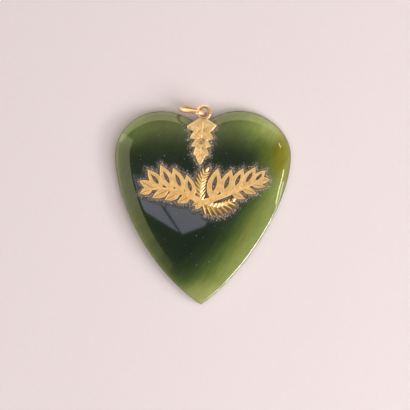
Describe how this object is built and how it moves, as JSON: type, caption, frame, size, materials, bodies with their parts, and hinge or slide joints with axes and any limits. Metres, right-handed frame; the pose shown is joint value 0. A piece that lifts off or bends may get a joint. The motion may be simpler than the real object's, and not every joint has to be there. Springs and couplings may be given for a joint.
{
  "type": "greenstone heart pendant",
  "caption": "Flat-backed polished stone heart with a riveted gold leaf bail, a jump ring for a chain and a pierced gold leaf spray across its face.",
  "frame": {"origin": "on the flat back of the stone, at the middle of the heart's width and height", "axes": "+Z out of the face, +Y from the tip towards the cleft and the bail, +X to the right of the face"},
  "size_m": [0.0398, 0.0452, 0.0065],
  "materials": {
    "greenstone": "polished, slightly translucent green with paler margins",
    "gold": "warm yellow gold, satin faces with bright edges",
    "rivet_metal": "worn reddish gold"
  },
  "bodies": {
    "root": {"heart_stone": "greenstone", "leaf_bail": "gold", "leaf_rivet": "rivet_metal", "jump_ring": "gold", "spray_plate": "gold"}
  },
  "joints": []
}
